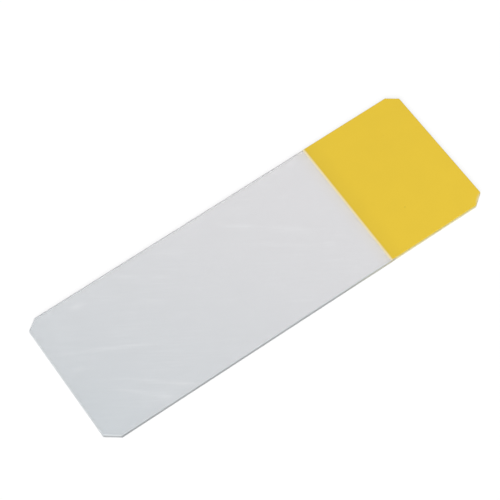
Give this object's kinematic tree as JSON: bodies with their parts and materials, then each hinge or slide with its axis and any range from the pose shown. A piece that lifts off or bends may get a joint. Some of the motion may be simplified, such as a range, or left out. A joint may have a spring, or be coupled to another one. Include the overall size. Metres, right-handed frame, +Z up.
{
  "type": "microscope slide",
  "caption": "Flat glass microscope slide with ground edges, cut corners and a coloured marking coat over one end.",
  "frame": {"origin": "centre of the underside, on the surface that the slide lies on", "axes": "+X along the length towards the coated end, +Y across the width, +Z up out of the coated face"},
  "size_m": [0.076, 0.026, 0.001],
  "materials": {
    "clear_glass": "polished faces, ground edges",
    "yellow_coat": "matt printed layer"
  },
  "bodies": {
    "root": {"glass_plate": "clear_glass", "marking_coat": "yellow_coat"}
  },
  "joints": []
}
